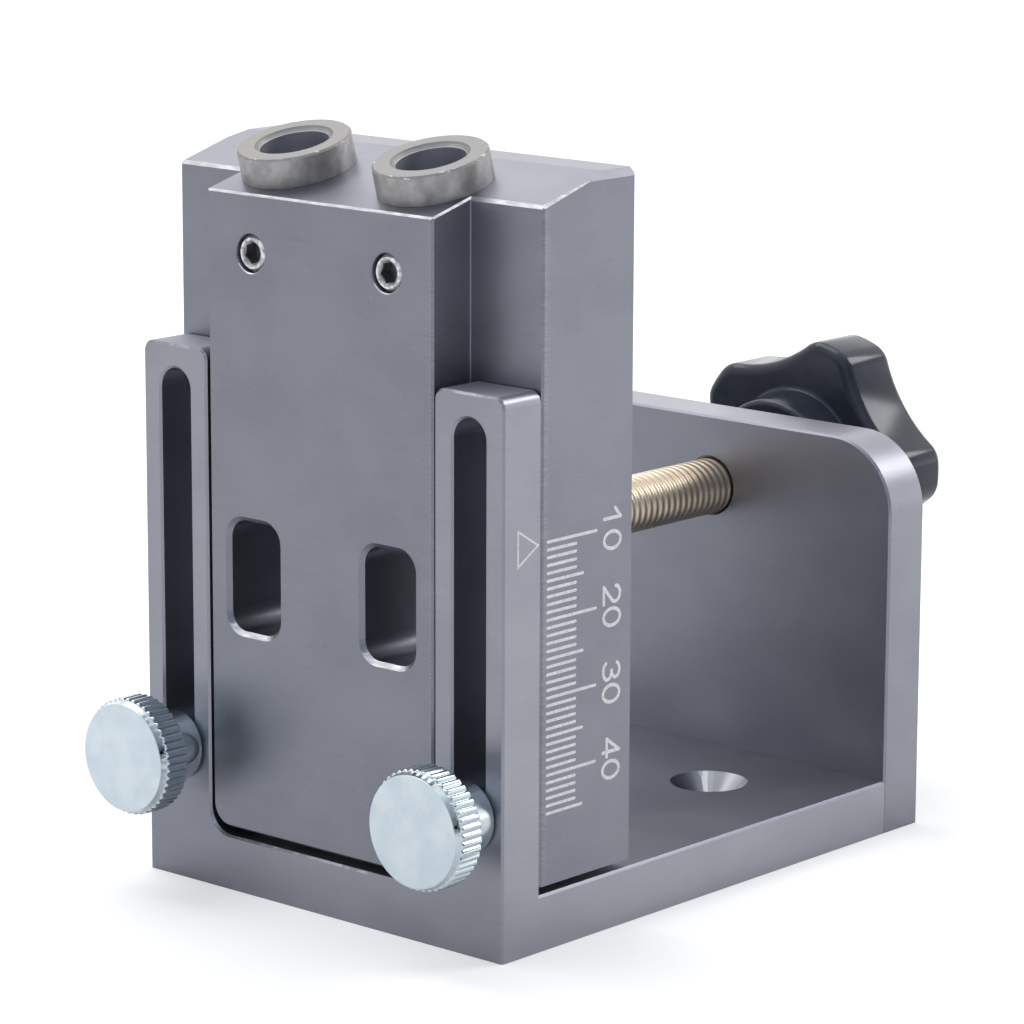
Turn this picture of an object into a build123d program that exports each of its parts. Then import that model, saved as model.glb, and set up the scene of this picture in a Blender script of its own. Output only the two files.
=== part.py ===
from build123d import *
from math import cos, radians, sin, tan
import os

# Pocket hole jig. Millimetres, +Z up, +Y from the drill block towards the clamp knob, +X to the right.
# The origin is the middle of the base's underside.

# Base frame: floor and slotted front wall from one billet
base_width = 63.4
base_depth = 87.0
floor_thickness = 7.4
front_wall_thickness = 6.8
upright_height = 72.1
upright_width = 11.65
upright_corner_radius = 1.5
cutout_corner_radius = 3.5
slot_width = 5.4
slot_top_centre = 66.2
slot_bottom_centre = 16.4
edge_break = 0.3

# Back plate
back_plate_thickness = 7.7
back_plate_height = 54.8
back_plate_corner_radius = 10.0

# Countersunk mounting holes in the floor
mount_hole_diameter = 5.2
mount_countersink_diameter = 10.8
mount_hole_spacing = 27.0
mount_hole_from_front = 63.2

# Screws that hold the back plate to the floor
plate_screw_diameter = 3.0
plate_screw_head_diameter = 5.8
plate_screw_length = 16.0
plate_screw_key = 2.0
plate_screw_key_depth = 1.1
plate_screw_places = (-24.0, -8.0, 8.0, 24.0)
plate_screw_height = 3.7
plate_screw_hole_gap = 0.15
plate_screw_tap_run = 1.0

# Drill block
block_front_recess = 0.2
block_depth = 24.45
block_lift = 1.1
block_top = 98.1
rear_flat_depth = 5.65
rear_flat_chamfer = 1.0
drill_angle = 15.0
side_gap = 0.35
wing_gap = 0.35
narrow_corner_radius = 3.0
top_edge_break = 0.25
wing_top_break = 0.4
slope_side_break = 0.45
slope_side_break_end = 0.05
block_edge_break = 0.3
drill_spacing = 23.8
drill_axis_from_front = 9.05
drill_clearance_diameter = 9.8

# Chip windows in the front of the block
window_width = 8.8
window_height = 14.8
window_below_top = 55.3
window_depth = 21.4
window_corner_radius = 2.5
window_edge_break = 0.6

# Hardened guide bushes
bush_bore = 9.1
bush_head_diameter = 15.0
bush_head_height = 3.95
bush_body_diameter = 13.0
bush_body_length = 20.0
bush_outer_chamfer = 0.25
bush_mouth_chamfer = 0.6

# Set screws that lock the bushes
set_screw_diameter = 5.0
set_screw_length = 4.0
set_screw_below_top = 12.7
set_screw_recess = 0.25
set_screw_end_bevel = 0.45
set_screw_mouth_bevel = 0.12
set_screw_key = 2.5
set_screw_key_depth = 2.0
set_screw_key_mouth = 3.2
set_screw_left_turn = 40.0
set_screw_right_turn = -10.0

# Knurled thumb screws that lock the block's height
thumb_height = 18.35
thumb_head_diameter = 15.7
thumb_face_diameter = 14.45
thumb_bevel_diameter = 15.0
thumb_bevel_length = 0.85
thumb_head_thickness = 4.5
thumb_total_projection = 10.35
thumb_collar_diameter = 9.6
thumb_collar_round = 0.7
thumb_stud_diameter = 4.9
thumb_stud_length = 18.0
thumb_hole_diameter = 5.0
thumb_hole_depth = 14.5
knurl_count = 46
knurl_crest_share = 0.36
knurl_end_break = 0.3

# Clamp screw with its swivel pad
clamp_height = 44.8
clamp_thread_diameter = 7.9
clamp_end_bevel = 0.9
clamp_nose_diameter = 5.5
clip_groove_diameter = 4.3
clip_outer_diameter = 9.0
clip_thickness = 0.7
clip_opening = 3.4
pad_diameter = 18.0
pad_thickness = 7.0
pad_recess_diameter = 11.0
pad_recess_depth = 3.2
pad_facing_thickness = 1.5
board_space = 13.0
pad_groove_depth = 0.5

# Star knob with its threaded insert
knob_gap = 11.55
knob_thickness = 10.6
knob_radius = 18.75
knob_valley_radius = 15.3
knob_lobe_count = 5
knob_first_lobe = 0.0
knob_scallop_radius = 22.5
knob_lobe_round = 3.75
knob_edge_round = 1.45
knob_dish_radius = 8.5
knob_dish_depth = 0.8
hub_length = 6.3
hub_root = 0.5
hub_base_radius = 11.0
hub_tip_radius = 10.4
hub_tip_round = 0.8
insert_radius = 6.0
insert_length = 12.0
insert_groove_depth = 0.7

# Fits
thread_gap = 0.04
running_gap = 0.08
axial_gap = 0.15
seat_gap = 0.02

front = -base_depth / 2
plate_front = base_depth / 2 - back_plate_thickness
plate_back = base_depth / 2
inner_face = base_width / 2 - upright_width
slot_place = base_width / 2 - upright_width / 2
wall_back = front + front_wall_thickness
block_front = front + block_front_recess
block_back = block_front + block_depth
wing_front = wall_back + wing_gap
block_bottom = floor_thickness + block_lift
crease = block_back - rear_flat_depth
slope = tan(radians(drill_angle))
drill_place = drill_spacing / 2
drill_top_y = block_front + drill_axis_from_front
drill_top_z = block_top - slope * (crease - drill_top_y)
drill_way_run = (block_back - drill_top_y) / sin(radians(drill_angle))
drill_way_end = drill_way_run + drill_clearance_diameter / 2 / slope + 2
set_screw_height = block_top - set_screw_below_top
window_centre = block_top - window_below_top
pad_front = block_back + board_space
knob_front = plate_back + knob_gap


def rod_y(x, y_start, y_end, z, radius):
    """Solid rod along Y."""
    rod = Cylinder(radius, y_end - y_start)
    return Pos(x, (y_start + y_end) / 2, z) * Rot(-90, 0, 0) * rod


def turned(points):
    """Solid of revolution about local Z from (radius, height) points."""
    outline = make_face(Polyline(*[(r, 0, h) for r, h in points], close=True))
    return revolve(outline, Axis.Z)


def along_y(x, y, z):
    """Frame whose local +Z points along +Y."""
    return Pos(x, y, z) * Rot(-90, 0, 0)


def on_drill_axis(side):
    """Frame on the slope at one drill axis, local +Z out of the block."""
    return Pos(side * drill_place, drill_top_y, drill_top_z) * Rot(drill_angle, 0, 0)


def box_between(x0, x1, y0, y1, z0, z1):
    """Box given by its limits."""
    return Pos((x0 + x1) / 2, (y0 + y1) / 2, (z0 + z1) / 2) * Box(x1 - x0, y1 - y0, z1 - z0)


def breaking_bar(start, end, outward, start_size, end_size):
    """Bar to cut away that breaks the edge from start to end; outward points off the part."""
    away = Vector(*outward).normalized()
    first = Vector(*start) + away * (1 - start_size * sin(radians(45)))
    last = Vector(*end) + away * (1 - end_size * sin(radians(45)))
    run = last - first
    plane = Plane(origin=(first + last) / 2, x_dir=away, z_dir=run)
    return plane * Box(2, 2, run.length)


def front_slab(outline, y_start, y_end):
    """Outline drawn on the front view (X, Z), extruded from y_start back to y_end."""
    plane = Plane(origin=(0, y_end, 0), x_dir=(1, 0, 0), z_dir=(0, -1, 0))
    return extrude(plane * outline, y_end - y_start)


def hexagon_pocket(key_width, depth):
    """Hexagon key pocket that opens at local z = 0 and goes down."""
    return extrude(RegularPolygon(key_width / 2, 6, major_radius=False), -depth)


def front_wall():
    """Fork of two uprights: U cut-out, rounded tops and the two locking slots."""
    half = base_width / 2
    wall = Pos(0, upright_height / 2) * RectangleRounded(
        base_width, upright_height, upright_corner_radius
    )
    foot = Pos(0, upright_height / 4) * Rectangle(base_width, upright_height / 2)
    wall = wall + foot
    opening = Polyline(
        (-inner_face, upright_height + 5),
        (-inner_face, floor_thickness),
        (inner_face, floor_thickness),
        (inner_face, upright_height + 5),
        close=True,
    )
    opening = make_face(opening)
    bottom_corners = opening.vertices().sort_by(Axis.Y)[:2]
    opening = fillet(bottom_corners, cutout_corner_radius)
    wall = wall - opening
    inner_tops = [v for v in wall.vertices() if abs(v.Y - upright_height) < 0.01]
    inner_tops = [v for v in inner_tops if abs(abs(v.X) - inner_face) < 0.01]
    wall = fillet(inner_tops, upright_corner_radius)
    slot_length = slot_top_centre - slot_bottom_centre
    slot_middle = (slot_top_centre + slot_bottom_centre) / 2
    for side in (-1, 1):
        slot = Rot(0, 0, 90) * SlotCenterToCenter(slot_length, slot_width)
        wall = wall - Pos(side * slot_place, slot_middle) * slot
    slab = front_slab(wall, front, wall_back)
    sill_edges = [
        e for e in slab.edges()
        if abs(e.center().Y - front) < 0.01 and e.center().Z > edge_break and abs(e.center().X) < half + 1
    ]
    return chamfer(sill_edges, edge_break)


def mounting_hole(side):
    """Countersunk through hole for a bench screw."""
    cone_depth = (mount_countersink_diameter - mount_hole_diameter) / 2
    hole_r = mount_hole_diameter / 2
    rim_r = mount_countersink_diameter / 2
    top = floor_thickness
    hole = turned([
        (0, -1),
        (hole_r, -1),
        (hole_r, top - cone_depth),
        (rim_r, top),
        (rim_r, top + 1),
        (0, top + 1),
    ])
    return Pos(side * mount_hole_spacing / 2, front + mount_hole_from_front, 0) * hole


def base_frame():
    """Floor and front wall, one machined piece."""
    half = base_width / 2
    floor = box_between(-half, half, front + 1, plate_front - seat_gap, 0, floor_thickness)
    side_edges = floor.edges().filter_by(Axis.Y).sort_by(Axis.Z)[-2:]
    floor = chamfer(side_edges, edge_break)
    body = floor + front_wall()
    for side in (-1, 1):
        body = body - mounting_hole(side)
    for x in plate_screw_places:
        hole_end = plate_back - plate_screw_length - plate_screw_tap_run
        body = body - rod_y(x, hole_end, plate_front + 1, plate_screw_height, plate_screw_diameter / 2)
    return body


def back_plate():
    """Upright plate behind the floor, tapped for the clamp screw."""
    outline = Pos(0, back_plate_height / 2) * Rectangle(base_width, back_plate_height)
    top_corners = outline.vertices().sort_by(Axis.Y)[-2:]
    outline = fillet(top_corners, back_plate_corner_radius)
    plate = front_slab(outline, plate_front, plate_back)
    rims = [
        e for e in plate.edges()
        if min(abs(e.center().Y - plate_front), abs(e.center().Y - plate_back)) < 0.01
        and e.center().Z > edge_break
    ]
    plate = chamfer(rims, edge_break)
    bore_r = clamp_thread_diameter / 2 + thread_gap
    plate = plate - rod_y(0, plate_front - 1, plate_back + 1, clamp_height, bore_r)
    mouths = plate.edges().filter_by(GeomType.CIRCLE)
    mouths = [e for e in mouths if abs(e.radius - bore_r) < 0.01]
    plate = chamfer(mouths, edge_break)
    screw_hole = turned(plate_screw_outline(plate_screw_hole_gap, back_plate_thickness + 1))
    for x in plate_screw_places:
        plate = plate - along_y(x, plate_back, plate_screw_height) * screw_hole
    return plate


def plate_screw_outline(grow, length):
    """Countersunk screw outline below its flush face, made larger by grow for the hole."""
    head_r = plate_screw_head_diameter / 2 + grow
    shank_r = plate_screw_diameter / 2 - thread_gap + grow
    top = 0.5 if grow > 0 else -0.1
    return [
        (0, top),
        (head_r, top),
        (head_r, -0.2),
        (shank_r, -0.2 - (head_r - shank_r)),
        (shank_r, -length),
        (0, -length),
    ]


def back_plate_screws():
    """Four equal socket countersunk screws from behind."""
    screw = turned(plate_screw_outline(0, plate_screw_length))
    screw = screw - Pos(0, 0, -0.1) * hexagon_pocket(plate_screw_key, plate_screw_key_depth)
    screws = [along_y(x, plate_back, plate_screw_height) * screw for x in plate_screw_places]
    return Compound(children=screws)


def block_blank():
    """T-shaped block before any hole: narrow tongue in front, wings behind the uprights."""
    half = base_width / 2
    narrow_half = inner_face - side_gap
    wings = box_between(-half, half, wing_front, block_back, block_bottom, block_top)
    top_sides = [
        e for e in wings.edges().filter_by(Axis.Y)
        if e.center().Z > block_top - 1
    ]
    wings = chamfer(top_sides, rear_flat_chamfer)
    tongue = Pos(0, (block_bottom + block_top) / 2) * Rectangle(2 * narrow_half, block_top - block_bottom)
    low_corners = tongue.vertices().sort_by(Axis.Y)[:2]
    tongue = fillet(low_corners, narrow_corner_radius)
    tongue = front_slab(tongue, block_front, wing_front + 1)
    rise = slope * (crease - block_front)
    wedge = make_face(Polyline(
        (0, crease, block_top),
        (0, block_front - 5, block_top - rise - slope * 5),
        (0, block_front - 5, block_top + 5),
        (0, crease, block_top + 5),
        close=True,
    ))
    wedge = extrude(wedge, base_width, both=True)
    wings = wings - wedge
    wing_top = wings.edges().filter_by(Axis.X).group_by(Axis.Y)[0].sort_by(Axis.Z)[-1]
    wings = chamfer(wing_top, wing_top_break)
    for side in (-1, 1):
        wing_start = (side * half, wing_front - 1, block_top - slope * (crease - wing_front + 1))
        wing_end = (side * half, crease, block_top)
        away = (side, -slope, 1)
        wings = wings - breaking_bar(wing_start, wing_end, away, slope_side_break, slope_side_break_end)
    tongue = tongue - wedge
    tongue_rim = [
        e for e in tongue.edges()
        if block_front - 0.01 < e.center().Y < wing_front + 0.9
        and e.center().Z > block_top - rise - 0.01
    ]
    tongue = chamfer(tongue_rim, top_edge_break)
    blank = wings + tongue
    corners = [
        e for e in blank.edges().filter_by(Axis.Z)
        if is_outer_corner(e.center().X, e.center().Y, half, narrow_half)
    ]
    return chamfer(corners, block_edge_break)


def is_outer_corner(x, y, half, narrow_half):
    """True on the upright outer edges of the tongue and the wings."""
    on_tongue = abs(abs(x) - narrow_half) < 0.01 and abs(y - block_front) < 0.01
    on_wing = abs(abs(x) - half) < 0.01 and min(abs(y - wing_front), abs(y - block_back)) < 0.01
    return on_tongue or on_wing


def chip_window(side):
    """Rounded window from the front into the drill bore."""
    outline = Pos(side * drill_place, window_centre) * RectangleRounded(
        window_width, window_height, window_corner_radius
    )
    pocket = front_slab(outline, block_front - 1, block_front + window_depth)
    mouth = Pos(side * drill_place, window_centre) * RectangleRounded(
        window_width + 2 * window_edge_break,
        window_height + 2 * window_edge_break,
        window_corner_radius + window_edge_break,
    )
    plane = Plane(origin=(0, block_front, 0), x_dir=(1, 0, 0), z_dir=(0, -1, 0))
    bevel = extrude(plane * mouth, -window_edge_break, taper=45)
    return pocket + bevel


def drill_block():
    """Sliding block with two angled drill bores, chip windows and tapped holes."""
    block = block_blank()
    for side in (-1, 1):
        axis = on_drill_axis(side)
        bush_seat = Pos(0, 0, 2 - bush_body_length / 2) * Cylinder(
            bush_body_diameter / 2 + seat_gap, bush_body_length + 4.6
        )
        drill_way = Pos(0, 0, -drill_way_end / 2) * Cylinder(drill_clearance_diameter / 2, drill_way_end)
        block = block - axis * bush_seat - axis * drill_way - chip_window(side)
        set_r = set_screw_diameter / 2 + thread_gap
        set_hole_length = set_screw_recess + set_screw_length + 2
        mouth = set_r + set_screw_mouth_bevel
        set_hole = turned([
            (0, -1),
            (mouth, -1),
            (mouth, 0),
            (set_r, set_screw_mouth_bevel),
            (set_r, set_hole_length),
            (0, set_hole_length),
        ])
        set_hole = along_y(side * drill_place, block_front, set_screw_height) * set_hole
        thumb_hole = rod_y(
            side * slot_place,
            wing_front - 1,
            wing_front + thumb_hole_depth,
            thumb_height,
            thumb_hole_diameter / 2,
        )
        block = block - set_hole - thumb_hole
    return block


def guide_bush(side):
    """Headed guide bush, turned and ground."""
    bore_r = bush_bore / 2
    head_r = bush_head_diameter / 2
    body_r = bush_body_diameter / 2
    top = bush_head_height
    bush = turned([
        (bore_r, -bush_body_length),
        (body_r - 0.5, -bush_body_length),
        (body_r, 0.5 - bush_body_length),
        (body_r, seat_gap),
        (head_r, seat_gap),
        (head_r, top - bush_outer_chamfer),
        (head_r - bush_outer_chamfer, top),
        (bore_r + bush_mouth_chamfer, top),
        (bore_r, top - bush_mouth_chamfer),
    ])
    return on_drill_axis(side) * bush


def set_screw(side):
    """Headless socket screw with a flat point."""
    radius = set_screw_diameter / 2 - thread_gap
    screw = turned([
        (0, 0),
        (radius - set_screw_end_bevel, 0),
        (radius, set_screw_end_bevel),
        (radius, set_screw_length - 0.6),
        (radius - 0.6, set_screw_length),
        (0, set_screw_length),
    ])
    mouth_r = set_screw_key_mouth / 2
    mouth = turned([(0, -1), (mouth_r + 1, -1), (0, mouth_r)])
    screw = screw - mouth - Rot(180, 0, 0) * hexagon_pocket(set_screw_key, set_screw_key_depth)
    turn = set_screw_left_turn if side < 0 else set_screw_right_turn
    seat = along_y(side * drill_place, block_front + set_screw_recess, set_screw_height)
    return seat * Rot(0, 0, turn) * screw


def knurled_ring():
    """Straight knurl: a ring of equal teeth with small flats and V grooves."""
    crest_r = thumb_head_diameter / 2
    root_r = thumb_bevel_diameter / 2
    half_flat = knurl_crest_share / 2
    points = []
    for tooth in range(knurl_count):
        for part, radius in ((-half_flat, crest_r), (half_flat, crest_r), (0.5, root_r)):
            turn = radians(360 * (tooth + part) / knurl_count)
            points.append((radius * cos(turn), radius * sin(turn)))
    return extrude(make_face(Polyline(*points, close=True)), thumb_head_thickness)


def thumb_screw(side):
    """Knurled head, rounded collar and stud, local +Z from the face into the jig."""
    head_r = thumb_head_diameter / 2
    face_r = thumb_face_diameter / 2
    bevel_r = thumb_bevel_diameter / 2
    thick = thumb_head_thickness
    envelope = turned([
        (0, 0),
        (face_r, 0),
        (bevel_r, thumb_bevel_length),
        (head_r, thumb_bevel_length + knurl_end_break),
        (head_r, thick - knurl_end_break),
        (head_r - knurl_end_break, thick),
        (0, thick),
    ])
    head = knurled_ring() & envelope
    collar_r = thumb_collar_diameter / 2
    collar = Pos(0, 0, thumb_total_projection / 2) * Cylinder(collar_r, thumb_total_projection)
    collar_end = collar.edges().filter_by(GeomType.CIRCLE).sort_by(Axis.Z)[-1]
    collar = fillet(collar_end, thumb_collar_round)
    stud_r = thumb_stud_diameter / 2
    stud_end = thumb_total_projection + thumb_stud_length
    stud = turned([
        (0, 1),
        (stud_r, 1),
        (stud_r, stud_end - 0.6),
        (stud_r - 0.6, stud_end),
        (0, stud_end),
    ])
    screw = head + collar + stud
    joint_rings = [
        e for e in screw.edges().filter_by(GeomType.CIRCLE)
        if abs(e.center().Z - thick) < 0.01 and abs(e.radius - collar_r) < 0.01
    ]
    screw = fillet(joint_rings, 0.8)
    return along_y(side * slot_place, front - seat_gap - thumb_total_projection, thumb_height) * screw


def clamp_positions():
    """Stations along Y that the pad, clip, nose and screw share."""
    facing_back = pad_front + pad_facing_thickness
    recess_floor = facing_back + pad_recess_depth
    pad_back = facing_back + pad_thickness
    return facing_back, recess_floor, pad_back


def clamp_screw():
    """M8 screw threaded from pad to knob, with a nose and clip groove; the thread is a plain cylinder."""
    facing_back, recess_floor, pad_back = clamp_positions()
    screw_r = clamp_thread_diameter / 2
    nose_r = clamp_nose_diameter / 2
    groove_r = clip_groove_diameter / 2
    nose_tip = facing_back + 0.8
    groove_end = recess_floor - axial_gap + 0.05
    groove_start = groove_end - clip_thickness - 0.1
    shoulder = pad_back + axial_gap
    screw_end = knob_front - hub_length + insert_length - 1
    screw = turned([
        (0, nose_tip),
        (nose_r - 0.4, nose_tip),
        (nose_r, nose_tip + 0.4),
        (nose_r, groove_start),
        (groove_r, groove_start),
        (groove_r, groove_end),
        (nose_r, groove_end),
        (nose_r, shoulder),
        (screw_r - clamp_end_bevel, shoulder),
        (screw_r, shoulder + clamp_end_bevel),
        (screw_r, screw_end - clamp_end_bevel),
        (screw_r - clamp_end_bevel, screw_end),
        (0, screw_end),
    ])
    return along_y(0, 0, clamp_height) * screw


def clamp_pad():
    """Turned swivel pad with a rim groove and a front recess for the clip."""
    facing_back, recess_floor, pad_back = clamp_positions()
    pad_r = pad_diameter / 2
    nose_r = clamp_nose_diameter / 2 + running_gap
    recess_r = pad_recess_diameter / 2
    middle = (facing_back + pad_back) / 2
    pad = turned([
        (recess_r, facing_back),
        (pad_r, facing_back),
        (pad_r, middle - 0.8),
        (pad_r - pad_groove_depth, middle - 0.3),
        (pad_r - pad_groove_depth, middle + 0.3),
        (pad_r, middle + 0.8),
        (pad_r, pad_back - 1.2),
        (pad_r - 1.2, pad_back),
        (nose_r, pad_back),
        (nose_r, recess_floor),
        (recess_r, recess_floor),
    ])
    return along_y(0, 0, clamp_height) * pad


def pad_facing():
    """Soft disc bonded to the pad's front face."""
    facing_back = clamp_positions()[0]
    start = pad_front
    edge = 0.4
    facing_r = pad_diameter / 2
    disc = turned([
        (0, start),
        (facing_r - edge, start),
        (facing_r, start + edge),
        (facing_r, facing_back - seat_gap),
        (0, facing_back - seat_gap),
    ])
    return along_y(0, 0, clamp_height) * disc


def pad_clip():
    """Open spring clip in the nose groove, it keeps the pad on the screw."""
    recess_floor = clamp_positions()[1]
    end = recess_floor - axial_gap
    start = end - clip_thickness
    outline = Circle(clip_outer_diameter / 2) - Circle(clip_groove_diameter / 2 + 0.05)
    outline = outline - Pos(0, clip_outer_diameter / 2) * Rectangle(clip_opening, clip_outer_diameter)
    ring = extrude(outline, clip_thickness)
    return along_y(0, start, clamp_height) * ring


def insert_outline(grow):
    """Outline of the knob's threaded insert with its anchoring groove."""
    start = knob_front - hub_length
    end = start + insert_length
    radius = insert_radius + grow
    waist = radius - insert_groove_depth
    middle = start + insert_length * 0.6
    return start, end, [
        (radius, start),
        (radius, middle - 1.5),
        (waist, middle - 1.0),
        (waist, middle + 1.0),
        (radius, middle + 1.5),
        (radius, end + grow),
    ]


def knob_insert():
    """Threaded bush moulded into the knob."""
    start, end, points = insert_outline(0)
    bore_r = clamp_thread_diameter / 2 + seat_gap
    insert = turned([(bore_r, start)] + points + [(bore_r, end)])
    return along_y(0, 0, clamp_height) * insert


def star_knob():
    """Five-lobed knob with soft edges, a hub in front and a shallow dish behind."""
    outline = Circle(knob_radius)
    step = 360 / knob_lobe_count
    scallop_place = knob_valley_radius + knob_scallop_radius
    for lobe in range(knob_lobe_count):
        valley = radians(knob_first_lobe + (lobe + 0.5) * step)
        centre = Pos(scallop_place * cos(valley), scallop_place * sin(valley))
        outline = outline - centre * Circle(knob_scallop_radius)
    outline = fillet(outline.vertices(), knob_lobe_round)
    knob_end = knob_front + knob_thickness
    plane = Plane(origin=(0, knob_end, clamp_height), x_dir=(1, 0, 0), z_dir=(0, -1, 0))
    body = extrude(plane * outline, knob_thickness)
    rims = [
        e for e in body.edges()
        if min(abs(e.center().Y - knob_front), abs(e.center().Y - knob_end)) < 0.01
    ]
    body = fillet(rims, knob_edge_round)
    hub_tip = knob_front - hub_length
    hub = turned([
        (0, hub_tip),
        (hub_tip_radius, hub_tip),
        (hub_base_radius, knob_front + hub_root),
        (0, knob_front + hub_root),
    ])
    tip_edge = hub.edges().filter_by(GeomType.CIRCLE).sort_by(Axis.Z)[0]
    hub = along_y(0, 0, clamp_height) * fillet(tip_edge, hub_tip_round)
    body = body + hub
    start, end, points = insert_outline(seat_gap)
    cavity = turned([(0, start - 1), (points[0][0], start - 1)] + points + [(0, end + seat_gap)])
    body = body - along_y(0, 0, clamp_height) * cavity
    dish = turned([
        (0, knob_end - knob_dish_depth),
        (knob_dish_radius, knob_end - knob_dish_depth),
        (knob_dish_radius + knob_dish_depth, knob_end + 1),
        (0, knob_end + 1),
    ])
    return body - along_y(0, 0, clamp_height) * dish


nodes = {
    "base_frame": base_frame(),
    "back_plate": back_plate(),
    "back_plate_screws": back_plate_screws(),
    "drill_block": drill_block(),
    "guide_bush_left": guide_bush(-1),
    "guide_bush_right": guide_bush(1),
    "set_screw_left": set_screw(-1),
    "set_screw_right": set_screw(1),
    "thumb_screw_left": thumb_screw(-1),
    "thumb_screw_right": thumb_screw(1),
    "clamp_screw": clamp_screw(),
    "clamp_pad": clamp_pad(),
    "pad_facing": pad_facing(),
    "pad_clip": pad_clip(),
    "star_knob": star_knob(),
    "knob_insert": knob_insert(),
}

os.makedirs("parts", exist_ok=True)
for name, shape in nodes.items():
    export_step(shape, f"parts/{name}.step")
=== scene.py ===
import bmesh
import bpy
from math import atan2, cos, pi, radians, sin, tau
from mathutils import Matrix, Vector


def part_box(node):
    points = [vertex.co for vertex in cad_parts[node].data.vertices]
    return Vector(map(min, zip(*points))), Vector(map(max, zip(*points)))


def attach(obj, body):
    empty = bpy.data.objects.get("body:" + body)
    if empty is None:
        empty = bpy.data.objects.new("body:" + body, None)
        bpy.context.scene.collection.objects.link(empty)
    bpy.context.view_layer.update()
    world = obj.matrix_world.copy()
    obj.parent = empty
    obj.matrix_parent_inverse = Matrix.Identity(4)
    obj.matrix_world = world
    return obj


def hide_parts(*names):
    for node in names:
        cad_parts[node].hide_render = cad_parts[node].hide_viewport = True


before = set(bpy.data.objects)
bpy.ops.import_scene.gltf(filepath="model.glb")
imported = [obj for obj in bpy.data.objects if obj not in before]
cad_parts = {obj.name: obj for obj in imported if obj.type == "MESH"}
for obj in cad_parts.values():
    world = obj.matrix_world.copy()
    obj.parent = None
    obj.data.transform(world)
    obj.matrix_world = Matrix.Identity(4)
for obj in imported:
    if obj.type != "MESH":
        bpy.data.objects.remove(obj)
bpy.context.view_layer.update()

# Studio and camera
# A pale floor under a plain white surround, with a soft lamp behind on the right and one above.
# The camera stands where the photograph was taken, in front of the jig and to its right.
MM = 0.001
WHITE = (1, 1, 1, 1)
FLOOR_PAPER = (0.80, 0.81, 0.83, 1)
FLOOR_GLOW = 0.31
FLOOR_REACH = 4.0
FLOOR_DROP = 0.02 * MM
FRONT_TINT = (0.84, 0.96, 1.12, 1)
JIG_MIDDLE = Vector((0, 0, 0.05))
REAR_LAMP_PLACE = Vector((0.50, 0.84, 0.74))
REAR_LAMP_SIZE = (0.44, 0.38)
REAR_LAMP_POWER = 3.2
TOP_LAMP_PLACE = Vector((-0.45, 0.05, 1.0))
TOP_LAMP_SIZE = (0.7, 0.7)
TOP_LAMP_POWER = 3.7
PHOTO_SIDE = 1024
SENSOR_WIDTH = 36.0
CAMERA_FOCAL_PIXELS = 4353.5
CAMERA_AZIMUTH = radians(41.558)
CAMERA_ELEVATION = radians(12.063)
CAMERA_ROLL = radians(0.196)
CAMERA_DISTANCE = 565.5 * MM
CAMERA_AIM = Vector((11.25, -18.91, 51.18)) * MM
CAMERA_NEAREST = 10 * MM


class Shade:
    """One value inside a material, on which sums are written as in plain maths."""

    def __init__(self, tree, socket=None):
        self.tree = tree
        self.socket = socket

    def node(self, kind, settings, inputs, output=0):
        """Any other node: its type, its settings, then the values or links of its sockets."""
        made = self.tree.nodes.new(kind)
        for key, value in settings.items():
            setattr(made, key, value)
        for key, value in inputs.items():
            if isinstance(value, Shade):
                self.tree.links.new(value.socket, made.inputs[key])
            else:
                made.inputs[key].default_value = value
        return Shade(self.tree, made.outputs[output] if made.outputs else None)

    def sum(self, operation, first, second):
        """A Math node on two values."""
        return self.node("ShaderNodeMath", {"operation": operation}, {0: first, 1: second})

    def __add__(self, other):
        return self.sum("ADD", self, other)

    def __radd__(self, other):
        return self.sum("ADD", other, self)

    def __sub__(self, other):
        return self.sum("SUBTRACT", self, other)

    def __rsub__(self, other):
        return self.sum("SUBTRACT", other, self)

    def __mul__(self, other):
        return self.sum("MULTIPLY", self, other)

    def __rmul__(self, other):
        return self.sum("MULTIPLY", other, self)

    def __pow__(self, other):
        return self.sum("POWER", self, other)

    def __abs__(self):
        return self.sum("ABSOLUTE", self, 0.0)

    def __neg__(self):
        return self.sum("MULTIPLY", self, -1.0)


def soft_step(value, low, high):
    """0 below low and 1 above high, with a smooth run between."""
    ends = {"Value": value, "From Min": low, "From Max": high}
    return value.node("ShaderNodeMapRange", {"interpolation_type": "SMOOTHSTEP"}, ends)


def blend(mask, first, second):
    """First colour where the mask is 0, second where it is 1."""
    return mask.node("ShaderNodeMix", {"data_type": "RGBA"}, {0: mask, 6: first, 7: second}, 2)


def split(vector):
    """The X, Y and Z parts of a vector."""
    return [vector.node("ShaderNodeSeparateXYZ", {}, {0: vector}, axis) for axis in range(3)]


def studio_floor():
    """Matt pale floor just under the jig, white where the camera looks straight at it."""
    mesh = bpy.data.meshes.new("floor")
    sides = [(-1, -1), (1, -1), (1, 1), (-1, 1)]
    corners = [(x * FLOOR_REACH, y * FLOOR_REACH, -FLOOR_DROP) for x, y in sides]
    mesh.from_pydata(corners, [], [(0, 1, 2, 3)])
    floor = bpy.data.objects.new("floor", mesh)
    bpy.context.collection.objects.link(floor)
    material = bpy.data.materials.new("floor_paper")
    material.use_nodes = True
    material.node_tree.nodes.clear()
    start = Shade(material.node_tree)
    paper = start.node("ShaderNodeBsdfDiffuse", {}, {"Color": FLOOR_PAPER})
    eye = start.node("ShaderNodeLightPath", {}, {}, "Is Camera Ray")
    strength = eye * FLOOR_GLOW
    glow = start.node("ShaderNodeEmission", {}, {"Color": WHITE, "Strength": strength})
    both = start.node("ShaderNodeAddShader", {}, {0: paper, 1: glow})
    start.node("ShaderNodeOutputMaterial", {}, {"Surface": both})
    mesh.materials.append(material)


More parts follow.
